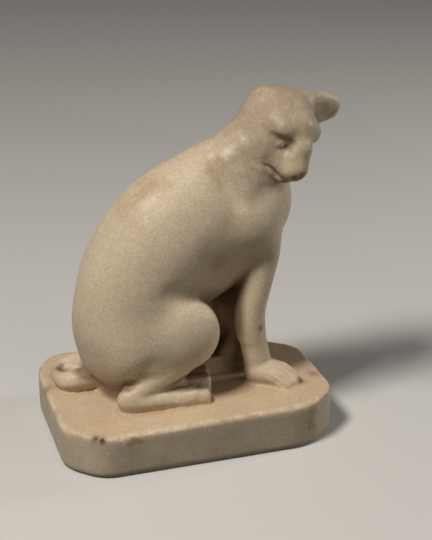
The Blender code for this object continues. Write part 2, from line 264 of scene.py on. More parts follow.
def front_leg(side, paw_yaw, paw_shift):
    """One upright front leg. paw_yaw turns its paw outwards, in degrees."""
    def at(x, out, z, radius, spread=1.0):
        return (x, MIDDLE + side * out, z, radius, spread)

    leg = [
        at(50, 22, 152, 24, 0.8),
        at(66.5, 18, 124, 13, 0.95),
        at(62, 17, 100, 12.8, 1),
        at(54, 17, 70, 13.2, 1),
        at(55, 16, 48, 12.8, 1),
        at(58, 16, 36, 11.6, 1),
        at(62 + paw_shift, 16, 14, 12, 1),
    ]
    forms = [Limb(leg, blend=8, steps=3)]
    heel = Vector((63 + paw_shift, MIDDLE + side * 18, 8))
    for toe in range(4):
        turn = math.radians(side * (paw_yaw + 14 * (toe - 1.5)))
        ahead = Vector((math.cos(turn), math.sin(turn), 0))
        knuckle = heel + ahead * 19
        tip = heel + ahead * (29 if toe in (1, 2) else 27)
        toe_run = [(*heel[:2], 10, 13, 1), (*knuckle[:2], 9, 7.4, 1), (*tip[:2], 4.5, 6, 1)]
        forms.append(Limb(toe_run, blend=1.5))
    return forms


def far_foot():
    """The left hind foot, left square, and the stone left standing between it and its knee."""
    return [
        Block((14, MIDDLE + 21.5, 6.5), (34.5, 14.5, 9), 2, blend=2),
        Limb([(26, 24, 14, 13, 0.8), (34, 25, 56, 20, 0.7)], blend=4),
    ]


def head():
    """Skull, muzzle, bridge of the nose and jaw, then each side's brow, cheek, socket and eye."""
    def mass(place, radii, blend, cut=False):
        return Mass(on_head(*place), radii, HEAD_TURN, blend, cut)

    def limb(start, end, start_radius, end_radius, blend, spread=1.0):
        stations = [(*on_head(*start), start_radius, spread), (*on_head(*end), end_radius, spread)]
        return Limb(stations, blend, HEAD_TURN @ Vector((0, 1, 0)))

    def groove(places, radius, blend):
        """A soft groove whose middle line runs through these places."""
        return Limb([(*on_head(*place), radius, 1) for place in places], blend, cut=True)

    forms = [
        mass((0, 0, 3), (33, 30, 29.5), blend=10),
        limb((12, 0, -7), (36, 0, -19), 19, 10.5, blend=8, spread=1.15),
        limb((22, 0, 12), (34, 0, -1), 13, 9.5, blend=6),
        limb((34, 0, -1), (42, 0, -15), 9.5, 8.5, blend=5),
        limb((6, 0, -20), (31, 0, -27), 13, 7.5, blend=4, spread=1.05),
    ]
    for side in (-1, 1):
        # The left eye and brow sit lower on the tilted head than the right ones
        drop = 1.5 + 1.5 * side
        forms.append(mass((19.5, side * 14, 12 - drop), (12.5, 10.5, 8.5 + drop / 3), blend=7))
        forms.append(mass((5, side * 18, -12), (18, 13, 14), blend=8))
        socket_place = (34.5, side * 16, -1 - 1.6 * drop)
        forms.append(mass(socket_place, (6 - drop / 2, 6.5, 5), blend=6, cut=True))
        brow = [
            (25, side * 25, 3.5 - drop),
            (31, side * 18, 3.5 - 1.4 * drop),
            (37, side * 11, 4 - 2 * drop),
        ]
        forms.append(groove(brow, 1.8 - drop / 6, 4))
        forms.append(mass((25.5, side * 13, -2 - drop), (4.5, 6, 4.5), blend=2))
    return forms


def ears():
    """The left ear stands out sideways; the right one is broken off to a low stump."""
    thin = HEAD_TURN @ Vector((1, 0, 0))
    blade = [
        (*on_head(-2, 20, 15), 18, 0.5),
        (*on_head(-2.5, 37, 18), 15.5, 0.48),
        (*on_head(-3, 48.5, 18.5), 12, 0.45),
    ]
    return [
        Limb(blend=6, stations=blade, across=thin),
        Mass(on_head(16.5, 42, 15.5), (14.5, 26, 19), HEAD_TURN, blend=2, cut=True),
        Mass(on_head(-7, -13, 10), (18, 15, 19), HEAD_TURN, blend=8),
    ]


def neck_muscle():
    """The ridge and the crease where the turned neck meets the right shoulder."""
    return [
        Limb(
            [(39, -27, 212, 5, 1), (34, -28, 204, 7, 1), (37, -31, 193, 8, 1), (44, -33, 181, 8, 1)],
            blend=12,
            steps=3,
        ),
        Limb(
            [(18, -34, 206, 2.5, 1), (24, -40.5, 197, 5, 1), (29, -46, 186, 6, 1), (37, -50, 172, 4, 1)],
            blend=8,
            steps=2,
            cut=True,
        ),
    ]


def tail():
    path = [
        (-62, 12, 11, 12, 1),
        (-76, 9, 9, 10.5, 1),
        (-90, 8, 8, 9.5, 1),
        (-100, 11, 6.5, 8, 1),
        (-104, 24, 5, 5.5, 1),
        (-103, 36, 4.5, 5.5, 1),
        (-98, 45, 5, 6, 1),
        (-91, 46, 6, 7, 1),
        (-83, 43, 7.5, 9, 1),
        (-75, 36, 9.5, 12, 1),
    ]
    return [Limb(path, blend=3, steps=3), Mass((-88, 29, 1), (14, 13, 8), blend=4)]


def figure_forms():
    return (
        torso()
        + head()
        + ears()
        + neck_muscle()
        + front_leg(1, -4, -16)
        + front_leg(-1, 33, 0)
        + hind_leg(1, 36, 30, 54)[:3]
        + far_foot()
        + hind_leg(-1, 0, 38, 61)
        + tail()
    )


def figure_distance(points, forms):
    """Distance from the blended figure, in shares. A form too far off to matter is passed over."""
    found = forms[0].distance(points)
    for form in forms[1:]:
        sign = -1 if form.cut else 1
        clear = np.linalg.norm(points - form.centre, axis=1) - form.reach
        near = np.flatnonzero(clear < sign * found + form.blend)
        if len(near):
            close = sign * found[near]
            found[near] = sign * blended(close, form.distance(points[near]), form.blend)
    return found


def plinth_top(x):
    """Height of the plinth's top, which rises a little towards the front."""
    share = np.clip(x / PLINTH_LENGTH + 0.5, 0, 1)
    return PLINTH_REAR_HEIGHT + (PLINTH_FRONT_HEIGHT - PLINTH_REAR_HEIGHT) * share


# The plinth's sides: which way each one faces, in degrees, how far it stands from the middle at
# the top, and how much nearer it stands at the bottom
PLINTH_SIDES = (
    (0, PLINTH_LENGTH / 2, 0),
    (49, 0.0985, 0),
    (86.3, PLINTH_WIDTH / 2 - 0.0105, 0),
    (142, 0.1295, 0),
    (178, PLINTH_LENGTH / 2 - 0.001, 0.0005),
    (223, 0.1290, -0.0003),
    (271, PLINTH_WIDTH / 2 - 0.001, 0.0017),
    (312, 0.1235, 0),
)


def plinth_distance(points):
    """Distance from the plinth: an oblong with worn corners cut across and worn edges."""
    plan = np.full(len(points), -1.0)
    depth = 1 - points[:, 2] / PLINTH_REAR_HEIGHT
    for facing, away, lean in PLINTH_SIDES:
        side = points[:, 0] * math.cos(math.radians(facing)) + points[:, 1] * math.sin(math.radians(facing))
        plan = -blended(-plan, away - lean * depth - side, PLINTH_CORNER_ROUND)
    plan = plan + np.maximum(PLINTH_FOOT_WEAR - points[:, 2], 0) ** 2 / (2 * PLINTH_FOOT_WEAR)
    above = points[:, 2] - plinth_top(points[:, 0])
    below = -0.006 - points[:, 2]
    sides = np.stack([plan, above, below], axis=1) + PLINTH_EDGE_ROUND
    outside = np.linalg.norm(np.maximum(sides, 0), axis=1)
    return outside + np.minimum(sides.max(axis=1), 0) - PLINTH_EDGE_ROUND


def waves(points, length, seed):
    """Soft unevenness from -1 to 1 whose swells are about this long, the same on every run."""
    chance = np.random.RandomState(seed)
    total = np.zeros(len(points))
    for _ in range(14):
        way = chance.normal(size=3)
        way *= 2 * math.pi / (length * chance.uniform(0.7, 1.6) * np.linalg.norm(way))
        total += np.sin(points @ way + chance.uniform(0, 2 * math.pi))
    return total / 5.3


def hand_finish(points):
    """How far the hand-rubbed surface stands off its true form, in metres."""
    return 0.00012 * waves(points, 0.026, 3) + 0.00005 * waves(points, 0.007, 5)


def on_figure(x, y, z):
    """A place on the figure, in shares, as a place in the scene, in metres."""
    return np.array([x, y, z]) * SHARE + FIGURE_PLACE


def on_face(forward, left, up):
    """A place on the head, in shares from its centre, as a place in the scene."""
    return on_figure(*on_head(forward, left, up))


def near_line(points, places, width, taper=True):
    """How near each point is to a fine line through these places: 1 on it, 0 away from it."""
    places = np.array(places)
    middle = places.mean(axis=0)
    reach = np.linalg.norm(places - middle, axis=1).max() + 2.6 * width
    found = np.zeros(len(points))
    near = np.flatnonzero(np.linalg.norm(points - middle, axis=1) < reach)
    if not len(near):
        return found
    local = points[near]
    best = np.zeros(len(near))
    last = len(places) - 1
    for n in range(last):
        axis = places[n + 1] - places[n]
        share = np.clip((local - places[n]) @ axis / (axis @ axis), 0, 1)
        apart = np.linalg.norm(local - places[n] - np.outer(share, axis), axis=1)
        strength = np.exp(-((apart / width) ** 2))
        if taper:
            strength *= np.clip(4 * (n + share) / last, 0.25, 1)
            strength *= np.clip(4 * (last - n - share) / last, 0.25, 1)
        best = np.maximum(best, strength)
    found[near] = best
    return found


def near_spot(points, place, width):
    """How near each point is to a round spot: 1 at its middle, 0 away from it."""
    return np.exp(-(((points - place) ** 2).sum(axis=1) / width**2))


# Fine lines of the face, each as places on the head. They are given for its right side, and those
# of the eyes, brows, mouth and nostrils are drawn on both sides.
UPPER_LID = ((29.4, -16, -2.6), (29.4, -14.4, 0.2), (29.6, -11.8, 1.6), (32, -10, 1.4), (35, -8.8, 0.9))
LOWER_LID = ((29.4, -16, -2.6), (30.8, -13, -4), (32, -10.1, -4), (34, -9, -2), (35, -8.8, 0.9))
MOUTH = (
    (26.3, -22, -22.1),
    (27.3, -19.9, -22.7),
    (29.8, -15.4, -23.6),
    (33.2, -10.2, -26.7),
    (38.6, -3, -29.9),
)
LOWER_LIP = (
    (28.4, -17.8, -24.8),
    (29.9, -14.2, -27.6),
    (31, -10.4, -30.3),
    (33.4, -5.8, -32.8),
    (37, -0.5, -34),
)
EYEBALL = ((29.6, -14.4, -1.4), (32, -10, -1))
PUPIL = ((30.1, -11.7, -1.2), (30.4, -11, -1))
BROW_SHADE = ((24.2, -21.1, 3.3), (28.9, -13.6, 2.9), (34, -9.6, 3.4), (39, -6, 5))
NOSTRIL = ((47.5, -5.4, -18.5), (47.2, -4.6, -21), (47.6, -3, -22.6))
NOSE_SEAM = ((50, 0, -20), (47, 0, -25), (43, 0, -29))
NOSE_PATINA = ((44.7, -5.9, -23.5), (48.4, -3.8, -20), (50.4, -1.1, -16), (50, 1, -12.5))
EAR_CREASE = ((2, 44, 11), (2.1, 50, 16.4), (1.4, 54.6, 22.4))

# Lines of the body, as places on the figure: grooves between the toes of both front paws, the
# creases of flank and thigh, and the notch along the right hind foot's toes
TOE_GROOVES = (
    ((79, -29.5, 17.6), (86.6, -34.9, 13.6), (93.5, -42, 7.5)),
    ((73.5, -39, 17.4), (81.2, -44.5, 13.1), (87.8, -49.6, 7)),
    ((69, -43.8, 15.4), (76.5, -50.1, 10.7), (82.8, -53.8, 4.6)),
    ((66, -44.6, 10.8), (72.1, -49.7, 7.3), (76.9, -54, 3.6)),
    ((55.5, 20.5, 15), (64, 21, 12), (71, 21.5, 6)),
    ((53.5, 14, 16), (63, 13.5, 13), (71.5, 13, 6)),
    ((53.5, 6, 15), (62, 5, 12), (69, 4.5, 6)),
)
BODY_CREASES = (
    ((-36, -53.4, 99), (-24, -52, 102), (-14, -49, 102.5), (-4, -44, 99), (6, -37.6, 93.5)),
    ((-64, -43, 22), (-57.1, -48.3, 26), (-51.6, -53.8, 34.2), (-43.7, -56.7, 41.7), (-36, -57.5, 45)),
)
TOE_NOTCH = ((-12.7, -50, 15), (-6, -50.6, 15), (1, -48.6, 13.4), (8, -46, 11))


def both_sides(line):
    """The same line on the near side of the head and on the far side, in metres."""
    return [np.array([on_face(x, side * -y, z) for x, y, z in line]) for side in (-1, 1)]


def all_near(points, line, width, taper=True):
    return np.maximum(*[near_line(points, places, width, taper) for places in both_sides(line)])


def fine_carving(points):
    """How deep the chisel's fine lines go, in metres: eyelids, mouth, lip, nose and ear."""
    depth = 0.0008 * all_near(points, UPPER_LID, 0.0009) + 0.0006 * all_near(points, LOWER_LID, 0.0009)
    depth += 0.0003 * all_near(points, PUPIL, 0.0010, False)
    depth += 0.0017 * all_near(points, MOUTH, 0.0013)
    depth -= 0.0011 * all_near(points, LOWER_LIP, 0.0014)
    depth += 0.0007 * all_near(points, BROW_SHADE, 0.0026)
    depth += 0.0010 * all_near(points, NOSTRIL, 0.0011)
    depth += 0.0004 * near_line(points, [on_face(*place) for place in NOSE_SEAM], 0.0009)
    depth += 0.0008 * near_line(points, [on_face(*place) for place in EAR_CREASE], 0.0014)
    for line in TOE_GROOVES:
        depth += 0.0012 * near_line(points, [on_figure(*place) for place in line], 0.0015)
    for line in BODY_CREASES:
        depth += 0.0022 * near_line(points, [on_figure(*place) for place in line], 0.0080)
    depth += 0.0013 * near_line(points, [on_figure(*place) for place in TOE_NOTCH], 0.0018)
    depth -= 0.0016 * near_spot(points, on_figure(-5, -55, 11), 0.0042)
    return depth


def broken_ear(points):
    """1 on the rough patch where the right ear is broken away, 0 elsewhere."""
    local = (points - on_face(-2, -25, 16)) @ np.array(HEAD_TURN) / (np.array([15.0, 12, 15]) * SHARE)
    edge = np.linalg.norm(local, axis=1) + 0.10 * waves(points, 0.012, 11)
    return np.clip((1.06 - edge) / 0.12, 0, 1)


def broken_tail(points):
    """1 on the tail's coarse end, whose surface is lost."""
    local = (points - on_figure(-82, 38, 14)) / (np.array([15.0, 13, 11]) * SHARE)
    edge = np.linalg.norm(local, axis=1) + 0.15 * waves(points, 0.014, 21)
    return np.clip((1.05 - edge) / 0.3, 0, 1)


def at_rim(points):
    """1 on the plinth's top edge, fading to 0 a few millimetres from it."""
    height = np.abs(points[:, 2] - plinth_top(points[:, 0]))
    side = np.abs(plinth_distance(np.column_stack([points[:, :2], np.full(len(points), 0.02)])))
    return np.exp(-((height / 0.0032) ** 2) - (side / 0.0036) ** 2)


# Pits: place, width and depth in metres, and how dark the dirt in it is
PITS = (
    (on_figure(-97, -80.8, -3.2), 0.0017, 0.0014, 0.95),
    (on_figure(-92.2, -84.6, -4), 0.0017, 0.0014, 0.95),
    (on_figure(94.4, -41.4, 1.5), 0.0022, 0.0010, 0.3),
    (on_figure(60.1, -36.6, 54.6), 0.0012, 0.0009, 0.9),
    (on_figure(-100.3, 30.2, 8.3), 0.0030, 0.0012, 0.5),
    (on_figure(112, -30, -1.5), 0.0030, 0.0020, 0),
    (on_figure(60, 89, -2), 0.0035, 0.0022, 0),
    (on_figure(-30, 89, -3), 0.0028, 0.0018, 0),
    (on_figure(-118, 20, -3), 0.0032, 0.0020, 0),
)


def damage(points):
    """How much stone is lost, in metres: the broken places, the chipped edge and the pits."""
    grain = waves(points, 0.0030, 12) + 0.6 * waves(points, 0.0017, 13)
    lost = broken_ear(points) * (0.0004 - 0.00016 * grain)
    lost += broken_tail(points) * (0.0001 + 0.00010 * grain)
    chips = np.clip(0.9 * waves(points, 0.011, 31) + 0.5 * waves(points, 0.005, 32) - 0.45, 0, 1.2)
    lost += 0.0011 * at_rim(points) * chips
    for place, width, depth, _ in PITS:
        lost += depth * near_spot(points, place, width)
    return lost


def statue_distance(points, forms):
    """Distance from the whole statue, in metres, for points in metres."""
    figure = figure_distance((points - FIGURE_PLACE) / SHARE, forms) * SHARE
    return blended(figure, plinth_distance(points), FOOT_FILLET)


def worked_distance(points, forms):
    """Distance from the statue with its hand finish, its fine lines and its damage."""
    return statue_distance(points, forms) - hand_finish(points) + fine_carving(points) + damage(points)


def dressed(points, distance, steps):
    """Moves each point onto the surface where the distance is nothing, 4 mm at most a step."""
    small = 0.0002
    furthest = 0.004
    for _ in range(steps):
        here = distance(points)
        slope = np.stack(
            [(distance(points + small * axis) - here) / small for axis in np.eye(3)], axis=1
        )
        size = np.maximum((slope**2).sum(axis=1), 0.05)
        move = slope * (here / size)[:, None]
        length = np.linalg.norm(move, axis=1)
        move *= np.minimum(1, furthest / np.maximum(length, 1e-9))[:, None]
        points = points - move
    return points


def rough_block(forms):
    """The roughed-out statue: all its forms and the plinth's slab, welded into one skin."""
    mesh = bmesh.new()
    for form in forms:
        if not form.cut:
            form.rough_mesh(mesh)
    mesh.transform(Matrix.Translation(Vector(FIGURE_PLACE)) @ Matrix.Scale(SHARE, 4))
    slab = bmesh.new()
    bmesh.ops.create_cube(slab, size=1)
    top = PLINTH_FRONT_HEIGHT
    slab.transform(
        Matrix.Translation((0, 0, top / 2 - 0.003))
        @ Matrix.Diagonal((PLINTH_LENGTH, PLINTH_WIDTH, top + 0.006, 1))
    )
    for facing, away, _ in PLINTH_SIDES:
        out = Vector((math.cos(math.radians(facing)), math.sin(math.radians(facing)), 0))
        cut = bmesh.ops.bisect_plane(
            slab,
            geom=[*slab.verts, *slab.edges, *slab.faces],
            plane_co=out * away,
            plane_no=out,
            clear_outer=True,
        )
        edges = [e for e in cut["geom_cut"] if isinstance(e, bmesh.types.BMEdge)]
        if edges:
            bmesh.ops.contextual_create(slab, geom=edges)
    add_to(mesh, slab)
    data = bpy.data.meshes.new("cat_and_plinth_carved")
    mesh.to_mesh(data)
    mesh.free()
    return data


def welded_skin(obj, voxel):
    """Remeshes the object's overlapping forms into one closed skin, in place."""
    remesh = obj.modifiers.new("weld", "REMESH")
    remesh.mode = "VOXEL"
    remesh.voxel_size = voxel
    graph = bpy.context.evaluated_depsgraph_get()
    skin = bpy.data.meshes.new_from_object(obj.evaluated_get(graph))
    obj.modifiers.remove(remesh)
    obj.data = skin


def mesh_points(mesh):
    """The mesh's points as rows of x, y and z."""
    points = np.empty(len(mesh.vertices) * 3, np.float32)
    mesh.vertices.foreach_get("co", points)
    return points.reshape(-1, 3).astype(float)


def dress_object(obj, distance, steps):
    """Moves the object's own points onto the surface where the distance is nothing."""
    points = dressed(mesh_points(obj.data), distance, steps)
    obj.data.vertices.foreach_set("co", points.astype(np.float32).ravel())
    obj.data.update()


def finer_where(obj, wanted):
    """Splits every face whose middle is wanted into four."""
    mesh = bmesh.new()
    mesh.from_mesh(obj.data)
    middles = np.array([face.calc_center_median()[:] for face in mesh.faces])
    chosen = wanted(middles)
    edges = {edge for face, yes in zip(mesh.faces, chosen) if yes for edge in face.edges}
    bmesh.ops.subdivide_edges(mesh, edges=list(edges), cuts=1, use_grid_fill=True)
    mesh.to_mesh(obj.data)
    mesh.free()


def near_detail(points, forms):
    """The parts with fine carving: the head, the feet, the tail and the plinth's top edge."""
    figure = (points - FIGURE_PLACE) / SHARE
    head_here = np.linalg.norm(figure - np.array(HEAD_CENTRE), axis=1) < 50
    low = (figure[:, 2] > -2) & (figure[:, 2] < 26)
    low[low] = figure_distance(figure[low], forms) < 4
    return head_here | low & ((figure[:, 1] < 20) | (figure[:, 0] < -60)) | (at_rim(points) > 0.25)


def finest_detail(points):
    """Eyes, nose and mouth."""
    local = ((points - FIGURE_PLACE) / SHARE - np.array(HEAD_CENTRE)) @ np.array(HEAD_TURN)
    return (local[:, 0] > 17) & (local[:, 2] < 13) & (local[:, 2] > -40) & (np.abs(local[:, 1]) < 30)


# The block is welded and dressed twice, so that its faces come out even, and then carved finer
forms = figure_forms()
statue = bpy.data.objects.new("cat_and_plinth_carved", rough_block(forms))
bpy.context.scene.collection.objects.link(statue)
welded_skin(statue, voxel=0.0028)
dress_object(statue, lambda points: statue_distance(points, forms), steps=4)
welded_skin(statue, voxel=0.0024)
dress_object(statue, lambda points: statue_distance(points, forms), steps=3)
finer_where(statue, lambda points: near_detail(points, forms))
dress_object(statue, lambda points: worked_distance(points, forms), steps=2)
finer_where(statue, finest_detail)
dress_object(statue, lambda points: worked_distance(points, forms), steps=2)

# The underside is sawn off flat
carved = bmesh.new()
carved.from_mesh(statue.data)
bmesh.ops.bisect_plane(
    carved,
    geom=[*carved.verts, *carved.edges, *carved.faces],
    plane_co=(0, 0, 0),
    plane_no=(0, 0, -1),
    clear_outer=True,
)
bmesh.ops.contextual_create(carved, geom=[e for e in carved.edges if e.is_boundary])
bmesh.ops.recalc_face_normals(carved, faces=carved.faces)
carved.to_mesh(statue.data)
carved.free()
statue.data.shade_smooth()
statue.data.set_sharp_from_angle(angle=math.radians(60))


def keep_mask(name, values):
    """Keeps one value for each point of the statue, for the material to use."""
    mask = statue.data.attributes.new(name, "FLOAT", "POINT")
    mask.data.foreach_set("value", np.clip(values, 0, 1).astype(np.float32))


def softened(values, rounds):
    """Spreads the values of neighbouring points into each other."""
    ends = np.empty(len(statue.data.edges) * 2, np.int32)
    statue.data.edges.foreach_get("vertices", ends)
    first, second = ends[::2], ends[1::2]
    count = np.bincount(ends, minlength=len(values))
    for _ in range(rounds):
        total = np.bincount(first, values[second], len(values))
        total += np.bincount(second, values[first], len(values))
        values = 0.5 * values + 0.5 * total / np.maximum(count, 1)
    return values


def shut_in(points, normals, steps_out):
    """How much stone stands close in front of each point, measured this far out from it."""
    found = np.zeros(len(points))
    for away in steps_out:
        nearby = statue_distance(points + normals * away, forms)
        found += np.clip(1 - nearby / away, 0, 1) / len(steps_out)
    return found


# Where dirt has settled in narrow hollows, and painted shade deep in between the legs
points = mesh_points(statue.data)
normals = np.empty(len(points) * 3, np.float32)
statue.data.vertices.foreach_get("normal", normals)
normals = normals.reshape(-1, 3).astype(float)
above_top = points[:, 2] - plinth_top(points[:, 0])
keep_mask("hollow", softened(shut_in(points, normals, (0.002, 0.005, 0.012)), 8))
# Painted shade: darkening deep in between the legs and under the belly
deep = softened(shut_in(points, normals, (0.020, 0.035)), 12)
keep_mask("deep_shade", deep * np.clip(0.35 + above_top / 0.02, 0.35, 1))

# Where edges are worn pale, where the lower lip is painted pale as a highlight, where patina lies on the
# plinth's top, and its sides below that
keep_mask("worn", np.maximum(at_rim(points), 1.3 * all_near(points, LOWER_LIP, 0.0014)))
not_above = np.clip((0.0045 - above_top) / 0.003, 0, 1)
not_below = np.clip((above_top + 0.005) / 0.004, 0, 1)
keep_mask("patina", not_above * not_below)
keep_mask("side", np.clip((-0.003 - above_top) / 0.006, 0, 1))
keep_mask("broken", np.maximum(broken_ear(points), 0.7 * broken_tail(points)))

# Brown lines of the face, painted shade under the brows, the rim's stained stretches and the rings round
# pits
brown = 0.5 * at_rim(points) * np.clip(waves(points, 0.02, 41) - 0.2, 0, 1)
for line, strength, width, taper in (
    (LOWER_LID, 0.75, 0.0016, False),
    (UPPER_LID, 0.5, 0.0018, False),
    (MOUTH, 0.85, 0.0014, True),
    # Painted shade: a brown band under each brow
    (BROW_SHADE, 0.35, 0.0034, True),
    (EYEBALL, 0.85, 0.0034, False),
    (PUPIL, 1.0, 0.0038, False),
):
    brown = np.maximum(brown, strength * all_near(points, line, width, taper))
for line, strength, width in ((NOSE_PATINA, 0.9, 0.0052), (EAR_CREASE, 0.6, 0.0018)):
    brown = np.maximum(brown, strength * near_line(points, [on_face(*place) for place in line], width))
for place, width, _, _ in PITS:
    brown = np.maximum(brown, 0.7 * near_spot(points, place, 2.4 * width))
keep_mask("brown", brown)

# Dark dirt in the pupils, the nostrils and the pits
dark = all_near(points, PUPIL, 0.0016, False)
dark = np.maximum(dark, 0.7 * all_near(points, NOSTRIL, 0.0011))
for place, width, _, strength in PITS:
    dark = np.maximum(dark, strength * near_spot(points, place, 1.6 * width))
keep_mask("dark", dark)


def stain_and_shade_group():
    """One soft-edged patch, for a stain and for painted shade: where it is, how long, wide and high, and
    how ragged its edge.
    """
    group = bpy.data.node_groups.new("marble_stain_and_shade", "ShaderNodeTree")
    for name, kind in (("Place", "Vector"), ("Size", "Vector"), ("Ragged", "Float"), ("Strength", "Float")):
        group.interface.new_socket(name, in_out="INPUT", socket_type="NodeSocket" + kind)
    group.interface.new_socket("Mask", in_out="OUTPUT", socket_type="NodeSocketFloat")
    nodes, links = group.nodes, group.links
    given = nodes.new("NodeGroupInput")
    given_out = nodes.new("NodeGroupOutput")
    where = nodes.new("ShaderNodeTexCoord")
    apart = nodes.new("ShaderNodeVectorMath")
    apart.operation = "SUBTRACT"
    links.new(where.outputs["Object"], apart.inputs[0])
    links.new(given.outputs["Place"], apart.inputs[1])
    scaled = nodes.new("ShaderNodeVectorMath")
    scaled.operation = "DIVIDE"
    links.new(apart.outputs[0], scaled.inputs[0])
    links.new(given.outputs["Size"], scaled.inputs[1])
    far = nodes.new("ShaderNodeVectorMath")
    far.operation = "LENGTH"
    links.new(scaled.outputs[0], far.inputs[0])
    cloud = nodes.new("ShaderNodeTexNoise")
    cloud.inputs["Scale"].default_value = 140
    cloud.inputs["Detail"].default_value = 5
    cloud.inputs["Roughness"].default_value = 0.6
    links.new(where.outputs["Object"], cloud.inputs["Vector"])
    centred = nodes.new("ShaderNodeMath")
    centred.operation = "SUBTRACT"
    links.new(cloud.outputs["Fac"], centred.inputs[0])
    centred.inputs[1].default_value = 0.5
    wander = nodes.new("ShaderNodeMath")
    wander.operation = "MULTIPLY_ADD"
    links.new(centred.outputs[0], wander.inputs[0])
    links.new(given.outputs["Ragged"], wander.inputs[1])
    links.new(far.outputs["Value"], wander.inputs[2])
    fade = nodes.new("ShaderNodeMapRange")
    fade.interpolation_type = "SMOOTHSTEP"
    fade.inputs["From Min"].default_value = 1.0
    fade.inputs["From Max"].default_value = 0.25
    links.new(wander.outputs[0], fade.inputs["Value"])
    strength = nodes.new("ShaderNodeMath")
    strength.operation = "MULTIPLY"
    links.new(fade.outputs["Result"], strength.inputs[0])
    links.new(given.outputs["Strength"], strength.inputs[1])
    links.new(strength.outputs[0], given_out.inputs["Mask"])
    return group


# Stains, and patches of painted shade: place, size in metres, raggedness, strength and colour
STAINS_AND_SHADE = (
    (on_figure(-32, -24, 186), (0.024, 0.022, 0.014), 1.8, 0.55, (0.42, 0.27, 0.14)),
    (on_figure(20, -33, 196), (0.012, 0.012, 0.024), 1.4, 0.4, (0.42, 0.27, 0.14)),
    # Painted shade in the hollow behind the right elbow
    (on_figure(21.9, -40.6, 121.5), (0.012, 0.012, 0.016), 0.8, 0.45, (0.36, 0.22, 0.11)),
    # Painted shade in the crease under the right thigh, above the shank
    (on_figure(-45, -54, 33), (0.020, 0.010, 0.006), 0.8, 0.45, (0.36, 0.22, 0.11)),
    (on_figure(92, -81, -14), (0.009, 0.009, 0.018), 2.6, 0.5, (0.34, 0.20, 0.10)),
    # Painted shade: a broad darkening over the head and neck
    (on_face(-2, -6, 4), (0.078, 0.078, 0.070), 0.9, 0.9, (0.41, 0.315, 0.215)),
    (on_figure(-50, -20, 165), (0.014, 0.030, 0.022), 1.8, 0.35, (0.44, 0.29, 0.16)),
    (on_figure(-66, -88, -7), (0.008, 0.006, 0.006), 2.2, 0.65, (0.36, 0.20, 0.08)),
)


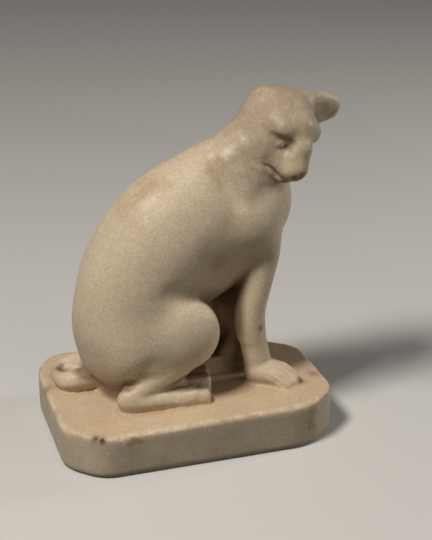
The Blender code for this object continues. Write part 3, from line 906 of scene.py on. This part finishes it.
def pale_marble():
    """Cream marble with its clouds, dirt, patina and stains, painted shade between the legs, under the
    brows and over the head, a painted highlight on the lower lip, and a satin finish.
    """
    material = bpy.data.materials.new("pale_marble")
    material.use_nodes = True
    nodes, links = material.node_tree.nodes, material.node_tree.links
    shader = nodes["Principled BSDF"]
    shader.inputs["Metallic"].default_value = 0.0
    shader.inputs["Specular IOR Level"].default_value = 0.4
    shader.inputs["Subsurface Weight"].default_value = 0.12
    shader.inputs["Subsurface Radius"].default_value = (1.0, 0.6, 0.35)
    shader.inputs["Subsurface Scale"].default_value = 0.004
    where = nodes.new("ShaderNodeTexCoord").outputs["Object"]

    def clouds(scale, detail=4.0, roughness=0.55, distortion=0.0):
        cloud = nodes.new("ShaderNodeTexNoise")
        cloud.inputs["Scale"].default_value = scale
        cloud.inputs["Detail"].default_value = detail
        cloud.inputs["Roughness"].default_value = roughness
        cloud.inputs["Distortion"].default_value = distortion
        links.new(where, cloud.inputs["Vector"])
        return cloud.outputs["Fac"]

    def ranged(value, low, high, to_low=0.0, to_high=1.0):
        span = nodes.new("ShaderNodeMapRange")
        span.inputs["From Min"].default_value = low
        span.inputs["From Max"].default_value = high
        span.inputs["To Min"].default_value = to_low
        span.inputs["To Max"].default_value = to_high
        links.new(value, span.inputs["Value"])
        return span.outputs["Result"]

    def times(first, second):
        product = nodes.new("ShaderNodeMath")
        product.operation = "MULTIPLY"
        links.new(first, product.inputs[0])
        if isinstance(second, float):
            product.inputs[1].default_value = second
        else:
            links.new(second, product.inputs[1])
        return product.outputs[0]

    def colour_mix(mask, under, over):
        mix = nodes.new("ShaderNodeMix")
        mix.data_type = "RGBA"
        links.new(mask, mix.inputs[0])
        for end, number in ((under, 6), (over, 7)):
            if isinstance(end, tuple):
                mix.inputs[number].default_value = (*end, 1)
            else:
                links.new(end, mix.inputs[number])
        return mix.outputs[2]

    def kept(name):
        mask = nodes.new("ShaderNodeAttribute")
        mask.attribute_name = name
        return mask.outputs["Fac"]

    # The stone itself: cream clouds, warm veins, pale grains, and a paler fresh break
    colour = colour_mix(ranged(clouds(14), 0.35, 0.68), (0.72, 0.59, 0.42), (0.60, 0.49, 0.345))
    colour = colour_mix(ranged(clouds(45, 6, 0.65, 0.4), 0.52, 0.75, 0.0, 0.5), colour, (0.68, 0.49, 0.30))
    colour = colour_mix(ranged(clouds(220, 3, 0.7), 0.45, 0.75, 0.0, 0.25), colour, (0.84, 0.75, 0.60))
    colour = colour_mix(times(kept("broken"), 0.5), colour, (0.70, 0.61, 0.47))

    # Patina on the plinth's top, where dust and hands rest
    patina = times(kept("patina"), ranged(clouds(38, 6, 0.62, 0.6), 0.3, 0.62, 0.25, 0.95))
    colour = colour_mix(patina, colour, (0.66, 0.485, 0.31))

    # The plinth's sides are a little darker
    side_darkening = times(kept("side"), ranged(clouds(34, 6, 0.65), 0.35, 0.65, 0.15, 0.7))
    colour = colour_mix(side_darkening, colour, (0.50, 0.41, 0.30))

    # Brown dirt in the hollows, and darker painted shade deep in between the legs
    dirt = times(ranged(kept("hollow"), 0.35, 0.85), ranged(clouds(160, 4), 0.3, 0.7, 0.45, 1.0))
    colour = colour_mix(times(dirt, 0.6), colour, (0.30, 0.185, 0.095))
    deep_shade = ranged(kept("deep_shade"), 0.45, 0.85)
    colour = colour_mix(times(deep_shade, 0.82), colour, (0.22, 0.135, 0.075))

    # The plinth's worn edge is paler, and the lower lip is painted paler as a highlight
    worn = times(kept("worn"), ranged(clouds(120, 5, 0.7), 0.42, 0.6))
    colour = colour_mix(times(worn, 0.7), colour, (0.84, 0.76, 0.62))

    # Small dark specks
    specks = ranged(clouds(330, 3, 0.6), 0.66, 0.74, 0.0, 0.4)
    colour = colour_mix(specks, colour, (0.34, 0.23, 0.13))

    # Brown lines and edges, with painted shade under the brows, then the stains and patches of painted
    # shade over them, and the dark bottoms of pits
    uneven = ranged(clouds(500, 4, 0.6), 0.3, 0.6, 0.55, 1.0)
    colour = colour_mix(times(kept("brown"), uneven), colour, (0.20, 0.085, 0.034))
    stain_and_shade_tree = stain_and_shade_group()
    for place, size, ragged, strength, tint in STAINS_AND_SHADE:
        patch = nodes.new("ShaderNodeGroup")
        patch.node_tree = stain_and_shade_tree
        patch.inputs["Place"].default_value = place
        patch.inputs["Size"].default_value = size
        patch.inputs["Ragged"].default_value = ragged
        patch.inputs["Strength"].default_value = strength
        colour = colour_mix(patch.outputs["Mask"], colour, tint)
    colour = colour_mix(kept("dark"), colour, (0.03, 0.018, 0.010))

    # Crystals: each one takes the light a little differently
    crystals = nodes.new("ShaderNodeTexVoronoi")
    crystals.inputs["Scale"].default_value = 900
    links.new(where, crystals.inputs["Vector"])
    crystal_value = nodes.new("ShaderNodeSeparateColor")
    links.new(crystals.outputs["Color"], crystal_value.inputs[0])
    lit = nodes.new("ShaderNodeHueSaturation")
    links.new(colour, lit.inputs["Color"])
    links.new(ranged(crystal_value.outputs["Red"], 0, 1, 0.88, 1.09), lit.inputs["Value"])
    links.new(lit.outputs["Color"], shader.inputs["Base Color"])

    # A satin finish, rougher where the stone is broken
    rough = nodes.new("ShaderNodeMath")
    rough.operation = "ADD"
    links.new(ranged(clouds(60, 5, 0.6), 0.3, 0.7, 0.40, 0.58), rough.inputs[0])
    links.new(times(kept("broken"), 0.25), rough.inputs[1])
    links.new(rough.outputs[0], shader.inputs["Roughness"])

    # The grain of the surface
    bump = nodes.new("ShaderNodeBump")
    bump.inputs["Strength"].default_value = 0.25
    bump.inputs["Distance"].default_value = 0.0006
    grain = nodes.new("ShaderNodeMath")
    grain.operation = "ADD"
    links.new(times(clouds(420, 6, 0.7), 0.7), grain.inputs[0])
    links.new(times(crystal_value.outputs["Green"], 0.12), grain.inputs[1])
    links.new(grain.outputs[0], bump.inputs["Height"])
    links.new(bump.outputs["Normal"], shader.inputs["Normal"])
    return material


statue.data.materials.clear()
statue.data.materials.append(pale_marble())
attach(statue, "root")
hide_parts("cat_and_plinth")


# The floor: a wide pale studio floor of matt board, which the plinth rests on by its own weight.

bpy.ops.mesh.primitive_grid_add(x_subdivisions=2, y_subdivisions=2, size=30, location=(0, 0, 0))
floor = bpy.context.object
floor.name = "studio_floor"
board = bpy.data.materials.new("pale_board")
board.use_nodes = True
board.node_tree.nodes["Principled BSDF"].inputs["Base Color"].default_value = (0.70, 0.69, 0.67, 1)
board.node_tree.nodes["Principled BSDF"].inputs["Roughness"].default_value = 0.9
floor.data.materials.append(board)
floor.visible_diffuse = False


# Light and camera: a soft light high on the left, two weak ones on the right, in front and behind,
# dim surroundings, and the camera where it stood for the photograph.

def soft_light(name, place, aim, size, power, colour):
    """A square soft light at this place, turned towards its aim."""
    lamp = bpy.data.lights.new(name, "AREA")
    lamp.shape = "SQUARE"
    lamp.size = size
    lamp.energy = power
    lamp.color = colour
    light = bpy.data.objects.new(name, lamp)
    light.location = place
    light.rotation_euler = (Vector(aim) - Vector(place)).to_track_quat("-Z", "Y").to_euler()
    bpy.context.scene.collection.objects.link(light)


soft_light("key_light", (-0.98, -0.56, 1.79), (0, 0, 0.11), 0.45, 34, (1.0, 0.95, 0.88))
soft_light("fill_light", (0.7, -1.25, 0.5), (0, 0, 0.12), 0.8, 2.4, (1.0, 0.95, 0.88))
soft_light("rim_light", (1.5, 0.1, 0.5), (0, 0, 0.14), 0.35, 6, (1.0, 0.96, 0.90))

surroundings = bpy.data.worlds.new("dim_room")
surroundings.use_nodes = True
surroundings.node_tree.nodes["Background"].inputs["Color"].default_value = (0.9, 0.9, 0.9, 1)
surroundings.node_tree.nodes["Background"].inputs["Strength"].default_value = 0.04
bpy.context.scene.world = surroundings
bpy.context.scene.view_settings.view_transform = "Standard"

lens = bpy.data.cameras.new("camera")
lens.sensor_width = 36
lens.lens = 106.66
camera = bpy.data.objects.new("camera", lens)
turn = math.radians(-17.759)
rise = math.radians(22.1485)
back = Vector((math.sin(turn) * math.cos(rise), -math.cos(turn) * math.cos(rise), math.sin(rise)))
camera.location = (-0.3547, -1.2072, 0.6518)
camera.rotation_euler = back.to_track_quat("Z", "Y").to_euler()
bpy.context.scene.collection.objects.link(camera)
bpy.context.scene.camera = camera

bpy.context.view_layer.update()
